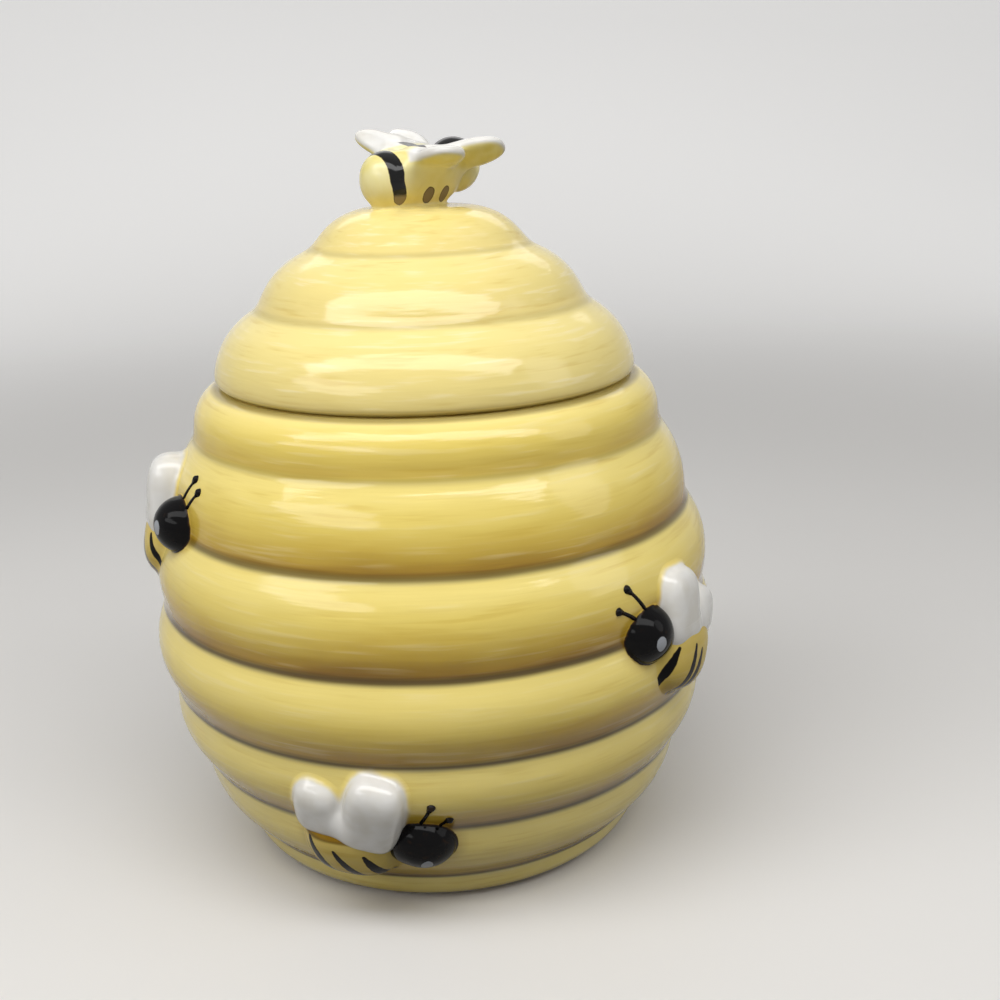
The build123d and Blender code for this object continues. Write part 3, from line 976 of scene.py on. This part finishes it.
def wing_form(points, frame, length):
    """Paddle from a narrow shoulder to a broad round tip."""
    half_length = length / 2 - 0.5
    blade_size = (half_length, *knob_blade_size)
    blade = pebble(points, frame, blade_size, offset=(half_length + 1, 0, 0.2), power=2.5)
    shoulder = pebble(points, frame, (8.0, 5.6, 3.4), offset=(6.0, 0, -0.8), power=2.2)
    return melt(blade, shoulder, 3.0)


def knob_wings_form(side):
    frames = [(wing_frame(side, *wing), length) for own, length, *wing in knob_wings if own == side]

    def field(points):
        fore, hind = [wing_form(points, frame, length) for frame, length in frames]
        return melt(fore, hind, 3.0)
    return field, frames


def cream_base(tree, tone, place):
    """Cream glaze, with a little of the lid's yellow everywhere and more of it low on the knob."""
    cloud = noise(tree, place, 90.0)
    height = calculate(tree, "MULTIPLY_ADD", cloud, 12 * MM, height_of(tree, place))
    low = ramp(tree, height, (crown_height + 19) * MM, (crown_height + 5) * MM)
    pale = blend_colours(tree, ramp(tree, cloud, 0.35, 0.7), knob_cream, knob_butter)
    return blend_colours(tree, calculate(tree, "MULTIPLY_ADD", low, 0.75, 0.1), pale, tone)


def body_ground(points):
    """The knob's body as the ground of its head and wings, with the lid's marks."""
    ground = lid_ground(points)
    ground[..., 0] = knob_body(points)
    return ground


knob_glaze = bee_paint("painted_knob_glaze", 0.30, cream_base)
knob_middle = knob_frame[0] + np.array([0, 0, knob_middle_height])
left_wings, left_frames = knob_wings_form(1)
right_wings, right_frames = knob_wings_form(-1)
knob_parts = {
    "knob_body": (pressed_on(knob_body, lid_ground, 3.0), 25.0, "cream_glaze", ["lid_bee_body"]),
    "knob_head": (pressed_on(knob_head, body_ground, 2.0, depth=4.0), 32.0, "black_glaze",
                  ["lid_bee_head"]),
    "knob_left_wings": (pressed_on(left_wings, body_ground, 7.0, depth=3.0), 38.0, "white_glaze",
                        ["lid_bee_left_fore_wing", "lid_bee_left_hind_wing"]),
    "knob_right_wings": (pressed_on(right_wings, body_ground, 7.0, depth=3.0), 38.0, "white_glaze",
                         ["lid_bee_right_fore_wing", "lid_bee_right_hind_wing"]),
}
for name, (field, reach, slot, nodes) in knob_parts.items():
    piece, corners = modelled(name, field, knob_middle, reach)
    local = (corners - knob_frame[0]) @ knob_frame[1].T
    forward, side, upward = local.T
    ground = lid_ground(corners)
    beyond = knob_body(corners)
    ring_middle = -12.4 + 0.3 * (9 - upward).clip(0)
    ring_width = 2.4 * np.sqrt(1 - ((3.8 - upward) / 2.8).clip(0, 1) ** 2) - 0.3 * (upward < 1)
    tail_ring = abs(forward - ring_middle) - ring_width
    spots = [np.hypot((forward - middle) / width, (upward - 3.6) / 2.6) - 1
             for middle, width in ((0.6, 2.0), (7.4, 1.8))]
    sliver = np.maximum(abs(forward - 0.6) - 1.9 + 1.9 * (side / 8.0) ** 2, 14.0 - upward)
    rings = np.maximum(np.minimum(tail_ring, np.minimum(*spots) * 2), beyond - 1.0)
    white, black = 0.0, np.minimum(rings, np.maximum(sliver, beyond - 3.0))
    if name == "knob_head":
        black = 14.0 - upward + 0.25 * (forward - 18)
    if "wings" in name:
        frames = left_frames if "left" in name else right_frames
        over_fore, over_hind = [(corners - root) @ ways[2] for (root, ways), length in frames]
        to_fore, to_hind = [wing_form(corners, frame, length) for frame, length in frames]
        share = ((to_hind - to_fore) / 4 + 0.5).clip(0, 1)
        above = share * over_fore + (1 - share) * over_hind
        white = np.minimum((above - knob_white_above[name]) * 1.2, beyond - 1.0)
    low_tail = np.interp(upward, (3.6, 4.6), (1.0, 0.0))
    low_chest = np.interp(upward, (6.5, 8.0), (1.0, 0.0))
    washed = np.where(forward < -6, low_tail, low_chest)
    mark(piece, white=white, black=black, washed=washed, eye=not_painted, ridge=0.9,
         brush_level=ground[:, 2], flow=0.5, near_bee=0.0)
    piece.data.materials.append(knob_glaze)
    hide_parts(*nodes)
    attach(piece, "lid")

# Table and light
# The jar stands on a plain pale table that curves up behind it, under one broad soft light from
# above and in front, with weaker ones from each side and from behind.
table_half_width = 7.0
table_front = -6.0
bend_start = 1.0
bend_radius = 0.7
table_tone = colour(224, 222, 219)
table_light = colour(96, 95, 93)  # its tone in the light that it throws back on the jar
lift_zone = (0.5, 1.6)
table_lift = 0.40


def looked_at(tree):
    """1 where the camera, a reflection or glass sees a surface, and 0 for the light that it gives."""
    seen = add_node(tree, "ShaderNodeLightPath").outputs
    direct = calculate(tree, "MAXIMUM", seen["Is Camera Ray"], seen["Is Glossy Ray"])
    return calculate(tree, "MAXIMUM", direct, seen["Is Transmission Ray"])


table = bpy.data.meshes.new("table")
bend = [(bend_start + bend_radius * sin(angle), bend_radius - bend_radius * cos(angle))
        for angle in np.linspace(0.1, pi / 2, 14)]
sweep = [(table_front, 0.0), (bend_start, 0.0), *bend, (bend_start + bend_radius, 4.0)]
corners = [(x, y, z) for y, z in sweep for x in (-table_half_width, table_half_width)]
table.from_pydata(corners, [], [(2 * i, 2 * i + 1, 2 * i + 3, 2 * i + 2) for i in range(len(sweep) - 1)])
for polygon in table.polygons:
    polygon.use_smooth = True
table_piece = new_piece("table", table)
table_paint = new_material("pale_table")
table_tree = table_paint.node_tree
table_shader = table_tree.nodes["Principled BSDF"]
table_shader.inputs["Roughness"].default_value = 0.6
direct = looked_at(table_tree)
painted = blend_colours(table_tree, direct, table_light, table_tone)
table_tree.links.new(painted, table_shader.inputs["Base Color"])
table_place = add_node(table_tree, "ShaderNodeTexCoord").outputs["Object"]
away = calculate_vector(table_tree, "LENGTH", table_place)
lift = times(table_tree, direct, times(table_tree, ramp(table_tree, away, *lift_zone), table_lift))
table_shader.inputs["Emission Color"].default_value = (1, 1, 1, 1)
table_tree.links.new(lift, table_shader.inputs["Emission Strength"])
table.materials.append(table_paint)


def soft_light(name, place, target, width, depth, power, shape):
    lamp = bpy.data.lights.new(name, "AREA")
    lamp.shape = shape
    lamp.size = width
    lamp.size_y = depth
    lamp.energy = power
    holder = bpy.data.objects.new(name, lamp)
    bpy.context.collection.objects.link(holder)
    holder.location = place
    holder.rotation_euler = (Vector(target) - Vector(place)).to_track_quat("-Z", "Y").to_euler()


jar_middle = (0, 0, 0.13)
world_light = 0.22
world_look = 0.48  # added where the camera or a reflection sees the surroundings
soft_light("overhead_light", (-0.08, -0.42, 0.95), jar_middle, 2.0, 0.36, 11.4, "RECTANGLE")
soft_light("left_light", (-1.0, -0.8, 0.8), jar_middle, 1.3, 0.35, 4.0, "ELLIPSE")
soft_light("right_light", (1.2, -0.4, 0.7), jar_middle, 0.6, 0.9, 2.0, "ELLIPSE")
soft_light("back_light", (0.1, 1.2, 1.0), jar_middle, 1.8, 0.5, 2.0, "ELLIPSE")
world = bpy.data.worlds.new("studio")
world.use_nodes = True
world_tree = world.node_tree
surroundings = world_tree.nodes["Background"]
surroundings.inputs["Color"].default_value = (1, 1, 1, 1)
strength = calculate(world_tree, "MULTIPLY_ADD", looked_at(world_tree), world_look, world_light)
world_tree.links.new(strength, surroundings.inputs["Strength"])
bpy.context.scene.world = world
bpy.context.scene.view_settings.view_transform = "Standard"

# Camera
# It looks from where the photograph was taken: close to the jar, level with its knob and tipped
# down. Its place and lens were fitted to the photograph.
camera_place = Vector((0, -0.4346, 0.2524))
camera_dip = radians(17.13)
camera_turn = radians(3.24)
camera_roll = radians(-1.7)
ahead = Vector((sin(camera_turn) * cos(camera_dip), cos(camera_turn) * cos(camera_dip), -sin(camera_dip)))
right = ahead.cross(Vector((0, 0, 1))).normalized()
up = right.cross(ahead)
across = right * cos(camera_roll) + up * sin(camera_roll)
above = up * cos(camera_roll) - right * sin(camera_roll)
camera = bpy.data.objects.new("camera", bpy.data.cameras.new("camera"))
bpy.context.collection.objects.link(camera)
camera.data.lens = 45
camera.data.sensor_width = 36
camera.data.clip_start = 0.01
turned_camera = Matrix((across, above, -ahead)).transposed().to_4x4()
camera.matrix_world = Matrix.Translation(camera_place) @ turned_camera
bpy.context.scene.camera = camera
